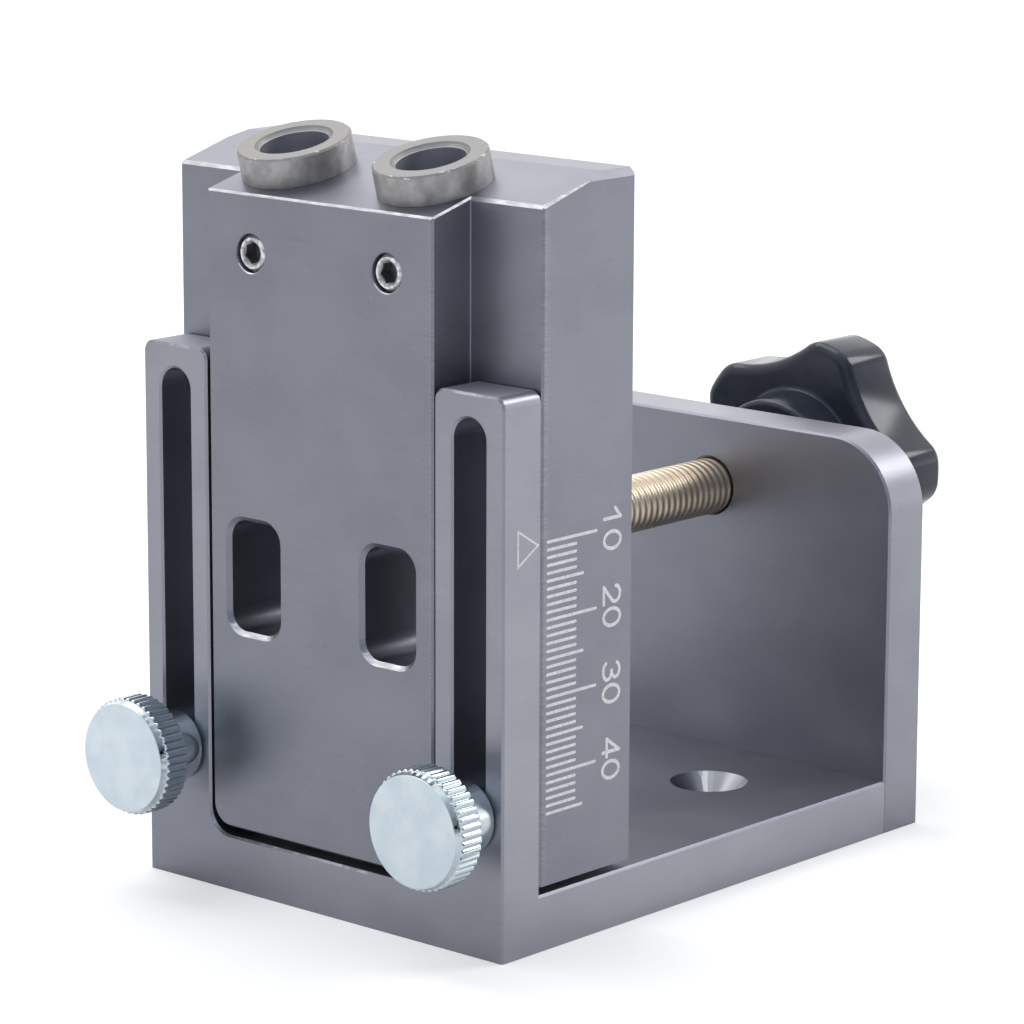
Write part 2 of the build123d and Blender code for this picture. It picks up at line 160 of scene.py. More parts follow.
def studio_surround():
    """White to the eye; metal sees it bright above and behind, and dim in front."""
    world = bpy.data.worlds.new("studio")
    bpy.context.scene.world = world
    world.use_nodes = True
    world.node_tree.nodes.clear()
    start = Shade(world.node_tree)
    direction = start.node("ShaderNodeTexCoord", {}, {}, "Generated")

    def patch(way, low, high):
        """1 where the surround lies this way from the jig."""
        dot = {"operation": "DOT_PRODUCT"}
        along = start.node("ShaderNodeVectorMath", dot, {0: direction, 1: way}, "Value")
        return soft_step(along, low, high)

    upward = patch((0, 0, 1), 0.0, 0.6)
    in_front = patch((0.65, -0.73, 0), -0.2, 0.8)
    behind_left = patch((-0.66, 0.74, 0.15), 0.80, 1.0)
    behind_right = patch((0.66, 0.74, -0.10), 0.66, 0.96) * (1 - upward)
    dark_right = patch((0.87, 0.15, 0.45), 0.70, 0.95)
    dark_rear = patch((0.62, 0.68, 0.40), 0.90, 0.98)
    brighter = upward * 0.14 + behind_left * 0.45 + behind_right * 1.05
    dimmer = in_front * (1 - upward * 0.6) * 0.72 + dark_right * 0.55 + dark_rear * 0.60
    in_metal = 1 + brighter - dimmer
    on_matt = 0.55 + upward * 0.30 - split(direction)[0] * 0.28
    eye, mirror, through = [
        start.node("ShaderNodeLightPath", {}, {}, f"Is {ray} Ray")
        for ray in ("Camera", "Glossy", "Transmission")
    ]
    strength = eye + through + mirror * in_metal + (1 - eye - mirror - through) * on_matt
    tint = blend(in_front * mirror, WHITE, FRONT_TINT)
    light = start.node("ShaderNodeBackground", {}, {"Color": tint, "Strength": strength})
    start.node("ShaderNodeOutputWorld", {}, {"Surface": light})


def soft_box(name, place, size, power):
    """Rectangular studio lamp that faces the jig's middle."""
    lamp = bpy.data.lights.new(name, "AREA")
    lamp.shape = "RECTANGLE"
    lamp.size, lamp.size_y = size
    lamp.energy = power
    holder = bpy.data.objects.new(name, lamp)
    bpy.context.collection.objects.link(holder)
    holder.location = place
    holder.rotation_euler = (JIG_MIDDLE - place).to_track_quat("-Z", "Y").to_euler()


def photo_camera():
    """Camera at the photograph's place, turned and framed as it was."""
    azimuth, elevation, roll = CAMERA_AZIMUTH, CAMERA_ELEVATION, CAMERA_ROLL
    back = Vector((sin(azimuth) * cos(elevation), -cos(azimuth) * cos(elevation), sin(elevation)))
    level = Vector((cos(azimuth), sin(azimuth), 0))
    upright = back.cross(level)
    right = cos(roll) * level + sin(roll) * upright
    up = cos(roll) * upright - sin(roll) * level
    turn = Matrix((right, up, back)).transposed()
    lens = bpy.data.cameras.new("photo_camera")
    lens.sensor_width = SENSOR_WIDTH
    lens.lens = CAMERA_FOCAL_PIXELS / PHOTO_SIDE * SENSOR_WIDTH
    lens.clip_start = CAMERA_NEAREST
    holder = bpy.data.objects.new("photo_camera", lens)
    bpy.context.collection.objects.link(holder)
    holder.matrix_world = Matrix.Translation(CAMERA_AIM + back * CAMERA_DISTANCE) @ turn.to_4x4()
    bpy.context.scene.camera = holder


bpy.context.scene.view_settings.view_transform = "Standard"
studio_floor()
studio_surround()
soft_box("rear_soft_box", REAR_LAMP_PLACE, REAR_LAMP_SIZE, REAR_LAMP_POWER)
soft_box("top_soft_box", TOP_LAMP_PLACE, TOP_LAMP_SIZE, TOP_LAMP_POWER)
photo_camera()


# Frame: base_frame and back_plate
# Machined from aluminium bar, bead-blasted and anodised grey, the edges broken afterwards.
# The back plate is screwed to the floor's end from behind.
FRAME_GREY = (0.325, 0.328, 0.374, 1)
FRAME_PALE = (0.365, 0.368, 0.414, 1)
PLATE_GREY = (0.300, 0.304, 0.348, 1)
PLATE_PALE = (0.336, 0.340, 0.386, 1)
BARE_ALUMINIUM = (0.80, 0.81, 0.83, 1)
# Dark grey that paints shade into the anodising.
PAINTED_SHADE_GREY = (0.05, 0.062, 0.09, 1)
FRONT_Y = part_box("base_frame")[0][1]
UPRIGHT_BACK_Y = FRONT_Y + 6.8 * MM
FLOOR_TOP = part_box("base_frame")[0][2] + 7.4 * MM
UPRIGHT_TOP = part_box("base_frame")[1][2]
MOUNTING_HOLES_Y = 19.7 * MM
MOUNTING_HOLES_WITHIN_X = 22 * MM
COUNTERSINK_REACH = 6 * MM
SIDE_EDGE_X = 31 * MM
SIDE_EDGE_FADE = (-30 * MM, 20 * MM)
LIT_SIDE_FADE = (5 * MM, 65 * MM)
SHADED_CORNER_FADE_X = (2 * MM, 26 * MM)
SHADED_CORNER_FADE_Z = (8 * MM, 20 * MM)
PLATE_SHADE_FADE = (5 * MM, 55 * MM)


def new_finish(name):
    """An empty material, and the place in the jig that its patterns follow."""
    material = bpy.data.materials.new(name)
    material.use_nodes = True
    material.node_tree.nodes.clear()
    return material, Shade(material.node_tree).node("ShaderNodeTexCoord", {}, {}, "Object")


def close_finish(material, place, sockets):
    """Ends a material in one principled surface."""
    surface = place.node("ShaderNodeBsdfPrincipled", {}, sockets)
    place.node("ShaderNodeOutputMaterial", {}, {"Surface": surface})
    return material


def grain(place, size, detail=2.0):
    """Noise whose grains have this size along X, Y and Z, in millimetres."""
    scale = tuple(1 / (length * MM) for length in size)
    spread = place.node("ShaderNodeMapping", {}, {"Vector": place, "Scale": scale})
    return place.node("ShaderNodeTexNoise", {}, {"Vector": spread, "Scale": 1.0, "Detail": detail})


def bumped(height, depth, strength):
    """Normal from a height of this depth in millimetres."""
    relief = {"Height": height, "Distance": depth * MM, "Strength": strength}
    return height.node("ShaderNodeBump", {}, relief)


def between(value, low, high, run):
    """1 between low and high, with a smooth run at both ends."""
    return soft_step(value, low - run, low) * (1 - soft_step(value, high, high + run))


def square_on(part):
    """1 on faces square to an axis, from the facing's part along that axis."""
    return soft_step(part, 0.96, 0.99)


def sloping_up(facing):
    """1 on bevels and cones that face half upwards."""
    return between(facing[2], 0.5, 0.85, 0.05)


def turned_forward(facing):
    """1 on faces that look more forward than sideways or up."""
    return soft_step(-facing[1], 0.5, 0.6)


def below_floor_top(z):
    """1 below the top face of the frame's floor."""
    return 1 - soft_step(z, FLOOR_TOP - 0.03 * MM, FLOOR_TOP)


def worn_bevel(place, facing):
    """Bare metal of the narrow bevels that face upwards, broken up along their length; kept to
    these bevels, it is partly a painted highlight.
    """
    upward = between(facing[2], 0.45, 0.90, 0.05)
    off_side = soft_step(abs(facing[1]), 0.12, 0.17)
    wear = soft_step(grain(place, (2.6, 1.2, 0.5), 4.0), 0.38, 0.66)
    return upward * off_side * (0.42 + wear * 0.45)


def frame_bare(place, facing):
    """Bare metal of the frame at bevels, countersinks and side edges, with painted highlight on
    upward bevels and a painted sheen on the low side faces.
    """
    x, y, z = split(place)
    low_slope = sloping_up(facing) * below_floor_top(z)
    from_holes = abs(y - MOUNTING_HOLES_Y)
    cone = low_slope * (1 - soft_step(from_holes, COUNTERSINK_REACH, COUNTERSINK_REACH + 0.2 * MM))
    inside = 1 - soft_step(abs(x), MOUNTING_HOLES_WITHIN_X, MOUNTING_HOLES_WITHIN_X + MM)
    side_edge = low_slope * soft_step(abs(x), SIDE_EDGE_X, SIDE_EDGE_X + 0.2 * MM)
    side_edge = side_edge * (1 - soft_step(y, *SIDE_EDGE_FADE))
    # Painted sheen: the side faces are lighter low down, fading out upwards.
    lit_side_face = square_on(facing[0]) * (1 - soft_step(z, *LIT_SIDE_FADE))
    unworn = 1 - soft_step(grain(place, (1.5, 1, 1), 3.0), 0.48, 0.60)
    worn = worn_bevel(place, facing) * (1 - cone) * (1 - turned_forward(facing) * unworn)
    return worn * 0.65 + cone * inside * 0.75 + side_edge * 0.22 + lit_side_face * 0.12


def frame_dim(place, facing):
    """Painted shade on the floor's side edges, the front bevels and the lower left end of the
    front.
    """
    x, _, z = split(place)
    side_edge = soft_step(abs(facing[0]), 0.5, 0.6) * below_floor_top(z)
    lower_left = soft_step(-x, *SHADED_CORNER_FADE_X) * (1 - soft_step(z, *SHADED_CORNER_FADE_Z))
    bevels = sloping_up(facing) * (side_edge * 0.70 + turned_forward(facing) * 0.50)
    return bevels + square_on(-facing[1]) * lower_left * 0.22


def plate_bare(place, facing):
    """Bare metal and painted highlight of the back plate, only a little, at its rear bevels."""
    return worn_bevel(place, facing) * soft_step(facing[1], 0.0, 0.2) * 0.3


def plate_dim(place, facing):
    """Painted shade on the milled front face of the plate, darker near the floor, and on its
    bevels.
    """
    low = 1 - soft_step(split(place)[2], *PLATE_SHADE_FADE)
    bevel = between(facing[2], 0.45, 0.85, 0.05) * soft_step(abs(facing[1]), 0.3, 0.5)
    return square_on(-facing[1]) * (0.14 + low * 0.08) + bevel * 0.30


def anodised(name, grey, pale, bare_and_highlight_at, painted_shade_at):
    """Blasted and anodised aluminium, with bare metal and painted highlight from one mask, painted
    shade from the other.
    """
    material, place = new_finish(name)
    height = split(place)[2]
    facing = split(place.node("ShaderNodeNewGeometry", {}, {}, "True Normal"))
    cloud = grain(place, (12, 12, 9), 3.0)
    lines = grain(place, (5, 5, 0.30), 3.0)
    blast = grain(place, (0.20, 0.20, 0.20), 2.0)
    speck = soft_step(grain(place, (0.5, 0.5, 0.35), 1.0), 0.77, 0.81)
    bare_and_highlight = bare_and_highlight_at(place, facing)
    sawn = square_on(facing[2]) * between(height, UPRIGHT_TOP - MM, UPRIGHT_TOP, MM)
    colour = blend(soft_step(cloud * 0.62 + lines * 0.16 + blast * 0.22, 0.36, 0.64), grey, pale)
    colour = blend(speck * 0.25, colour, BARE_ALUMINIUM)
    colour = blend(bare_and_highlight + sawn * 0.07, colour, BARE_ALUMINIUM)
    return close_finish(material, place, {
        # Painted shade blended in last.
        "Base Color": blend(painted_shade_at(place, facing), colour, PAINTED_SHADE_GREY),
        "Metallic": 1.0,
        "Roughness": 0.37 + cloud * 0.06 - bare_and_highlight * 0.10 + sawn * 0.30,
        "Normal": bumped(blast * 0.88 + lines * 0.12, 0.010, 0.5),
    })


def dress(name, material):
    """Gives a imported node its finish."""
    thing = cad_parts[name]
    if not thing.data.materials:
        thing.data.materials.append(material)
    for holder in thing.material_slots:
        holder.material = material


dress("base_frame", anodised("anodised_frame", FRAME_GREY, FRAME_PALE, frame_bare, frame_dim))
dress("back_plate", anodised("anodised_plate", PLATE_GREY, PLATE_PALE, plate_bare, plate_dim))


# Pointer: the small triangle on the right upright
# Laser-marked on the side face, its tip points at the block's scale.
# It is a pale line about a quarter of a millimetre wide.
MARK_GREY = (0.66, 0.67, 0.69, 1)
MARK_PALE = (0.84, 0.85, 0.87, 1)
MARK_RISE = 0.012 * MM
MARK_SINK = 0.05 * MM
POINTER_HEIGHT = 52.8 * MM
POINTER_LENGTH = 4.1 * MM
POINTER_HALF_BASE = 2.5 * MM
POINTER_LINE = 0.27 * MM
POINTER_TIP_Y = UPRIGHT_BACK_Y - 0.15 * MM


def mark_finish():
    """Laser-marked aluminium: rough, light grey, a little uneven."""
    material, place = new_finish("laser_mark")
    patch = grain(place, (0.4, 0.4, 0.4), 2.0)
    return close_finish(material, place, {
        "Base Color": blend(soft_step(patch, 0.3, 0.7), MARK_GREY, MARK_PALE),
        "Metallic": 0.1,
        "Roughness": 0.7,
        "Normal": bumped(patch, 0.01, 0.4),
    })


def add_piece(name, mesh, material, body):
    """Puts a finished mesh into the jig, riding on one body."""
    piece = bpy.data.objects.new(name, mesh)
    bpy.context.collection.objects.link(piece)
    mesh.materials.append(material)
    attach(piece, body)
    return piece


def mesh_from(shape, name):
    """Finished mesh of a bmesh, with its faces turned outwards."""
    bmesh.ops.recalc_face_normals(shape, faces=shape.faces)
    mesh = bpy.data.meshes.new(name)
    shape.to_mesh(mesh)
    shape.free()
    return mesh


def side_face_x(node):
    """X of a node's right side."""
    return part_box(node)[1][0]


def side_strip(shape, side_x, corners):
    """Thin slab on a side face from its corners (y, z)."""
    outer = [shape.verts.new((side_x + MARK_RISE, y, z)) for y, z in corners]
    inner = [shape.verts.new((side_x - MARK_SINK, y, z)) for y, z in corners]
    count = len(corners)
    shape.faces.new(outer)
    shape.faces.new(inner[::-1])
    for first in range(count):
        second = (first + 1) % count
        shape.faces.new((outer[first], inner[first], inner[second], outer[second]))


def pointer_triangle():
    """Outline triangle made of three mitred strokes."""
    outer = [
        Vector((POINTER_TIP_Y, POINTER_HEIGHT)),
        Vector((POINTER_TIP_Y - POINTER_LENGTH, POINTER_HEIGHT + POINTER_HALF_BASE)),
        Vector((POINTER_TIP_Y - POINTER_LENGTH, POINTER_HEIGHT - POINTER_HALF_BASE)),
    ]
    sides = [(outer[(i + 1) % 3] - outer[(i + 2) % 3]).length for i in range(3)]
    heart = sum((outer[i] * sides[i] for i in range(3)), Vector((0, 0))) / sum(sides)
    area = POINTER_LENGTH * POINTER_HALF_BASE
    inner_share = 1 - POINTER_LINE * sum(sides) / (2 * area)
    inner = [heart + (corner - heart) * inner_share for corner in outer]
    side_x = side_face_x("base_frame")
    shape = bmesh.new()
    for i in range(3):
        j = (i + 1) % 3
        side_strip(shape, side_x, [outer[i], outer[j], inner[j], inner[i]])
    return mesh_from(shape, "pointer_triangle")


laser_mark = mark_finish()
add_piece("pointer_triangle", pointer_triangle(), laser_mark, "base")


# Drill block
# The same grey anodising on a milled block, a shade darker than the frame.
# The cutter left a comb of short lines beside the front corners of the tongue and the wings.
BLOCK_GREY = (0.252, 0.258, 0.297, 1)
BLOCK_PALE = (0.285, 0.291, 0.332, 1)
TONGUE_HALF_WIDTH = 19.7 * MM
BLOCK_HALF_WIDTH = 31.7 * MM
BLOCK_DEPTH = 24.45 * MM
TONGUE_FRONT_Y = FRONT_Y + 0.2 * MM
WING_FRONT_Y = UPRIGHT_BACK_Y + 0.35 * MM
BLOCK_REAR_Y = TONGUE_FRONT_Y + BLOCK_DEPTH
INSIDES_FROM = 20 * MM
INSIDES_TO = 88 * MM
INSIDES_HALF_WIDTH = 17 * MM
SLOPE_SHADE_RUN = 10 * MM


def block_inside(place):
    """1 in the chip windows and the drill ways."""
    x, y, z = split(place)
    level = between(z, INSIDES_FROM, INSIDES_TO, 0.5 * MM)
    level = level * (1 - soft_step(abs(x), INSIDES_HALF_WIDTH, INSIDES_HALF_WIDTH + 0.3 * MM))
    return level * between(y, TONGUE_FRONT_Y + 0.8 * MM, BLOCK_REAR_Y - 0.5 * MM, 0.2 * MM)


def block_dim(place, facing):
    """Painted shade in the chip windows and the drill ways, and on the front part of the slope."""
    y = split(place)[1]
    slope_front = 1 - soft_step(y, TONGUE_FRONT_Y, TONGUE_FRONT_Y + SLOPE_SHADE_RUN)
    slope_front = slope_front * soft_step(facing[2], 0.93, 0.95)
    return block_inside(place) * 0.25 + slope_front * 0.22


def block_bare(place, facing):
    """Bare metal of the block at worn bevels and the cutter's combs, with a painted glint along
    the tongue's root line.
    """
    x, y, z = split(place)
    comb = soft_step(grain(place, (1.6, 1.6, 0.16), 2.0), 0.48, 0.60)
    tongue_edge = between(x, TONGUE_HALF_WIDTH - 0.5 * MM, TONGUE_HALF_WIDTH, 0.4 * MM)
    tongue_face = 1 - soft_step(y, TONGUE_FRONT_Y + 0.2 * MM, TONGUE_FRONT_Y + 0.4 * MM)
    wing_edge = soft_step(x, BLOCK_HALF_WIDTH - 0.4 * MM, BLOCK_HALF_WIDTH - 0.2 * MM)
    wing_face = between(y, WING_FRONT_Y, WING_FRONT_Y + 0.8 * MM, 0.6 * MM)
    # Painted glint: a thin bright line where the tongue meets the wings' front.
    root = between(abs(x), TONGUE_HALF_WIDTH, TONGUE_HALF_WIDTH + 0.12 * MM, 0.04 * MM)
    root = root * between(y, WING_FRONT_Y - 0.1 * MM, WING_FRONT_Y + 0.02 * MM, 0.02 * MM)
    worn = worn_bevel(place, facing) * (1 - block_inside(place))
    combed = comb * (tongue_edge * tongue_face + wing_edge * wing_face)
    return worn + combed * 0.09 + root * 0.4


dress("drill_block", anodised("anodised_block", BLOCK_GREY, BLOCK_PALE, block_bare, block_dim))


# Scale on the block's right side
# Lines one millimetre apart from 10 to 45, long at the tens and middling at the fives,
# with the tens' numbers turned to read downwards, all laser-marked like the pointer.
SCALE_FIRST = 10
SCALE_LAST = 45
SCALE_NUMBERS = (10, 20, 30, 40)
SCALE_FIRST_HEIGHT = POINTER_HEIGHT + 0.08 * MM
SCALE_START_Y = FRONT_Y + 8.05 * MM
SCALE_LINE = 0.41 * MM
LONG_LINE = 9.65 * MM
MIDDLE_LINE = 7.1 * MM
SHORT_LINE = 5.75 * MM
NUMBER_FOOT_Y = FRONT_Y + 19.04 * MM
NUMBER_STROKE = 0.48 * MM
NUMBER_PITCH = 2.95 * MM
NUMBER_DROP = 0.2 * MM
STROKE_LIFT = 0.4


def scale_height(reading):
    """Height of a reading's line."""
    return SCALE_FIRST_HEIGHT - (reading - SCALE_FIRST) * MM


def flat_stroke(shape, side_x, points, width, rise):
    """Thin band along points (y, z) on a side face: a closed loop, or a line with round ends."""
    spots = [Vector(point) for point in points]
    radius = width / 2
    last = len(spots) - 1
    closed = (spots[0] - spots[last]).length < radius / 10
    stations = []
    for i, spot in enumerate(spots):
        before = spots[i - 1] if i else spots[last - 1] if closed else spot
        after = spots[i + 1] if i < last else spots[1] if closed else spot
        stations.append((spot, (after - before).normalized(), radius))
    if closed:
        stations.pop()
    else:
        turns = [radians(angle) for angle in (20, 40, 60, 80)]
        start, heading = stations[0][:2]
        head = [(start - heading * radius * sin(t), heading, radius * cos(t)) for t in turns]
        end, heading = stations[-1][:2]
        tail = [(end + heading * radius * sin(t), heading, radius * cos(t)) for t in turns]
        stations = head[::-1] + stations + tail
    bands = []
    for spot, heading, half in stations:
        across = Vector((-heading.y, heading.x)) * half
        left, right = spot + across, spot - across
        top, bottom = side_x + rise, side_x - MARK_SINK
        section = [(top, left), (top, right), (bottom, right), (bottom, left)]
        bands.append([shape.verts.new((x, place.x, place.y)) for x, place in section])
    following = bands[1:] + bands[:1] if closed else bands[1:]
    for first, second in zip(bands, following):
        for k in range(4):
            j = (k + 1) % 4
            shape.faces.new((first[k], first[j], second[j], second[k]))
    if not closed:
        shape.faces.new(bands[0])
        shape.faces.new(bands[-1][::-1])


def line_length(reading):
    """Length of a reading's line."""
    if reading % 10 == 0:
        return LONG_LINE
    return MIDDLE_LINE if reading % 5 == 0 else SHORT_LINE


def scale_lines():
    """All the lines as one mesh of thin strips."""
    side_x = side_face_x("drill_block")
    shape = bmesh.new()
    for reading in range(SCALE_FIRST, SCALE_LAST + 1):
        height = scale_height(reading)
        start = SCALE_START_Y + SCALE_LINE / 2
        end = SCALE_START_Y + line_length(reading) - SCALE_LINE / 2
        flat_stroke(shape, side_x, [(start, height), (end, height)], SCALE_LINE, MARK_RISE)
    return mesh_from(shape, "scale_lines")


def arc(across, up, wide, tall, start, end):
    """Points on an oval arc of a numeral, in millimetres, angles in degrees."""
    steps = max(6, round(abs(end - start) / 12))
    angles = [radians(start + (end - start) * step / steps) for step in range(steps + 1)]
    return [(across + wide * cos(angle), up + tall * sin(angle)) for angle in angles]


NUMERALS = {
    "0": [arc(0, 1.58, 1.10, 1.60, 0, 360)],
    "1": [[(0.1, 0), (0.1, 3.16)], [(0.1, 3.16), (-1.12, 2.08)]],
    "2": [arc(0, 2.22, 1.02, 0.94, 172, -38) + [(-1.08, 0)], [(-1.08, 0), (1.15, 0)]],
    "3": [arc(-0.05, 2.38, 0.96, 0.78, 158, -90), arc(-0.05, 0.82, 1.12, 0.82, 90, -158)],
    "4": [[(0.55, 3.16), (-1.15, 0.80)], [(-1.15, 0.80), (1.20, 0.80)], [(0.55, 3.16), (0.55, 0)]],
}


def scale_number(reading):
    """A number read from top to bottom, in strokes that each stand a little above the last."""
    side_x = side_face_x("drill_block")
    middle = scale_height(reading) - NUMBER_DROP
    shape = bmesh.new()
    for place, numeral in enumerate(str(reading)):
        centre = middle + (0.5 - place) * NUMBER_PITCH
        for layer, stroke in enumerate(NUMERALS[numeral]):
            points = [(NUMBER_FOOT_Y + up * MM, centre - across * MM) for across, up in stroke]
            rise = MARK_RISE * (1 + STROKE_LIFT * layer)
            flat_stroke(shape, side_x, points, NUMBER_STROKE, rise)
    return mesh_from(shape, f"scale_number_{reading}")


add_piece("scale_lines", scale_lines(), laser_mark, "block")
for reading in SCALE_NUMBERS:
    number = scale_number(reading)
    add_piece(f"scale_number_{reading}", number, laser_mark, "block")


# Guide bushes
# Turned from tool steel, hardened and ground to a plain grey, a little nicked at the rim.
# Each is a push fit in the block's sloped top and held by its set screw.
BUSH_FACE_DARK = (0.245, 0.239, 0.234, 1)
BUSH_FACE_PALE = (0.295, 0.288, 0.282, 1)
BUSH_SIDE_DARK = (0.35, 0.338, 0.338, 1)
BUSH_SIDE_PALE = (0.48, 0.466, 0.466, 1)
BUSH_LIP_DARK = (0.24, 0.235, 0.23, 1)
BUSH_BORE_GREY = (0.52, 0.53, 0.60, 1)
BUSH_NICK_BRIGHT = (0.90, 0.90, 0.90, 1)
BUSH_PLACE_X = 11.9 * MM
BUSH_SEAT = Vector((0, FRONT_Y + 9.25 * MM, 95.49 * MM))
BUSH_LEAN = radians(15)
BUSH_BORE_RADIUS = 4.55 * MM
BUSH_HEAD_RADIUS = 7.5 * MM
BUSH_HEAD_TOP = 3.95 * MM
BORE_RINGS = 5.5 / MM


def from_axis(first, second):
    """Distance from an axis, from the distances along two square directions."""
    return (first * first + second * second) ** 0.5


def bush_place(place):
    """Distance from the nearer bush's leaning axis, and height above its seat along it."""
    x, y, z = split(place)
    across = (y - BUSH_SEAT.y) * cos(BUSH_LEAN) + (z - BUSH_SEAT.z) * sin(BUSH_LEAN)
    height = (z - BUSH_SEAT.z) * cos(BUSH_LEAN) - (y - BUSH_SEAT.y) * sin(BUSH_LEAN)
    return from_axis(abs(x) - BUSH_PLACE_X, across), height


def hardened_steel():
    """Plain grey ground steel with faint stains, a dim bore and small nicks at the rim."""
    material, place = new_finish("hardened_steel")
    out, height = bush_place(place)
    blotch = grain(place, (1.7, 1.7, 2.6), 4.0)
    smudge = grain(place, (0.9, 0.9, 0.7), 3.0)
    fine = grain(place, (0.12, 0.12, 0.12), 2.0)
    one_way = {"noise_dimensions": "1D"}
    turning = height.node("ShaderNodeTexNoise", one_way, {"W": height, "Scale": BORE_RINGS})
    bore = 1 - soft_step(out, BUSH_BORE_RADIUS + 0.02 * MM, BUSH_BORE_RADIUS + 0.10 * MM)
    lip = between(out, BUSH_BORE_RADIUS + 0.12 * MM, BUSH_BORE_RADIUS + 0.62 * MM, 0.08 * MM)
    lip = lip * soft_step(height, BUSH_HEAD_TOP - 0.7 * MM, BUSH_HEAD_TOP - 0.5 * MM)
    rim = between(out, BUSH_HEAD_RADIUS - 0.35 * MM, BUSH_HEAD_RADIUS, 0.08 * MM)
    rim = rim * soft_step(height, BUSH_HEAD_TOP - 0.34 * MM, BUSH_HEAD_TOP - 0.25 * MM)
    nick = rim * soft_step(grain(place, (1.1, 1.1, 0.5), 4.0), 0.57, 0.68)
    side = 1 - soft_step(height, BUSH_HEAD_TOP - 0.3 * MM, BUSH_HEAD_TOP - 0.2 * MM)
    face_tone = soft_step(blotch * 0.2 + smudge * 0.3 + fine * 0.5, 0.3, 0.7)
    side_tone = soft_step(blotch * 0.65 + smudge * 0.2 + fine * 0.15, 0.38, 0.62)
    face_colour = blend(face_tone, BUSH_FACE_DARK, BUSH_FACE_PALE)
    side_colour = blend(side_tone, BUSH_SIDE_DARK, BUSH_SIDE_PALE)
    colour = blend(side, face_colour, side_colour)
    colour = blend(lip * 0.5, colour, BUSH_LIP_DARK)
    colour = blend(bore * 0.9, colour, BUSH_BORE_GREY)
    colour = blend(nick * 0.6, colour, BUSH_NICK_BRIGHT)
    return close_finish(material, place, {
        "Base Color": colour,
        "Metallic": 1.0,
        "Roughness": 0.44 + smudge * 0.12 - nick * 0.15,
        "Normal": bumped(smudge * 0.3 + fine * 0.3 + bore * turning * 0.8, 0.014, 0.5),
    })


bush_steel = hardened_steel()
dress("guide_bush_left", bush_steel)
dress("guide_bush_right", bush_steel)


# Set screws
# Headless socket screws of bright zinc-plated steel, seated just inside the block's face.
# They press on the bushes and are turned with a small key.
HANDLED_STEEL = (0.50, 0.51, 0.54, 1)
CLEAN_STEEL = (0.92, 0.92, 0.90, 1)
KEY_SOCKET_SHADE = (0.16, 0.155, 0.175, 1)
SET_SCREW_HEIGHT = 85.4 * MM
SET_SCREW_FACE_Y = TONGUE_FRONT_Y + 0.25 * MM
KEY_MOUTH_RADIUS = 1.6 * MM


def bright_steel():
    """Clean bright steel with light handling marks, and painted shade down its key socket and
    round its mouth.
    """
    material, place = new_finish("bright_steel")
    x, y, z = split(place)
    out = from_axis(abs(x) - BUSH_PLACE_X, z - SET_SCREW_HEIGHT)
    deep = soft_step(y, SET_SCREW_FACE_Y - 0.05 * MM, SET_SCREW_FACE_Y + 0.35 * MM)
    mouth = 1 - soft_step(out, KEY_MOUTH_RADIUS + 0.05 * MM, KEY_MOUTH_RADIUS + 0.2 * MM)
    # Painted shade, darker the deeper it goes.
    socket = (0.55 + deep * 0.45) * mouth
    wear = grain(place, (0.8, 0.8, 0.8), 3.0)
    colour = blend(soft_step(wear, 0.40, 0.60), HANDLED_STEEL, CLEAN_STEEL)
    return close_finish(material, place, {
        "Base Color": blend(socket * 0.85, colour, KEY_SOCKET_SHADE),
        "Metallic": 1.0,
        "Roughness": 0.16 + wear * 0.12 + socket * 0.3,
        "Normal": bumped(wear, 0.008, 0.5),
    })


set_screw_steel = bright_steel()
dress("set_screw_left", set_screw_steel)
dress("set_screw_right", set_screw_steel)


# Thumb screws
# Turned steel with a straight knurl of 46 ridges, blue-white zinc plated and faintly clouded.
# They pass through the uprights' slots and clamp the block's wings.
ZINC_BLUE = (0.66, 0.76, 0.83, 1)
ZINC_WHITE = (0.76, 0.84, 0.88, 1)
ZINC_CREAM = (0.84, 0.83, 0.79, 1)
ZINC_PINK = (0.82, 0.78, 0.84, 1)
ZINC_PINHOLE = (0.45, 0.50, 0.54, 1)
ZINC_SHADE = (0.42, 0.46, 0.46, 1)
KNURL_RIDGES = 46
STEPS_A_RIDGE = 8
KNURL_CORNERS = KNURL_RIDGES * STEPS_A_RIDGE
KNURL_ROOT = 7.5 * MM
KNURL_CREST = 7.85 * MM
KNURL_START = 0.85 * MM
KNURL_END_ROUND = 0.32 * MM
KNURL_END_RISE = [(0.0, 0.0), (0.06, 0.35), (0.30, 0.74), (0.62, 0.93), (1.0, 1.0)]
HEAD_LENGTH = 4.5 * MM
HEAD_BACK_FLAT = 0.4 * MM
FACE_RADIUS = 7.225 * MM
FACE_FLAT = 1.2 * MM
FACE_EDGE_ROUND = 0.08 * MM
COLLAR_RADIUS = 4.8 * MM
COLLAR_END = 10.35 * MM
COLLAR_FILLET = 0.8 * MM
COLLAR_ROUND = 0.7 * MM
STUD_RADIUS = 2.45 * MM
STUD_BEVEL = 0.6 * MM
THUMB_SHARP_ANGLE = 42
# A ring this far from an edge keeps the face beside it flat.
EDGE_MARGIN = 0.3 * MM


def quarter_turn(steps):
    """Angles from 0 to a right angle."""
    return [pi / 2 * step / steps for step in range(steps + 1)]


def round_run(length, radius, size, inward, steps=5):
    """Quarter round in (length, radius) from a face to a barrel; inward is -1 at the far end."""
    run = [
        (length + inward * size * (1 - cos(t)), radius - size * (1 - sin(t)))
        for t in quarter_turn(steps)
    ]
    return run if inward > 0 else run[::-1]


def ring(centre_x, y, centre_z, radii):
    """Corners about a Y axis, one at each radius, evenly turned."""
    angles = [tau * k / len(radii) for k in range(len(radii))]
    return [(centre_x + r * cos(a), y, centre_z + r * sin(a)) for r, a in zip(radii, angles)]


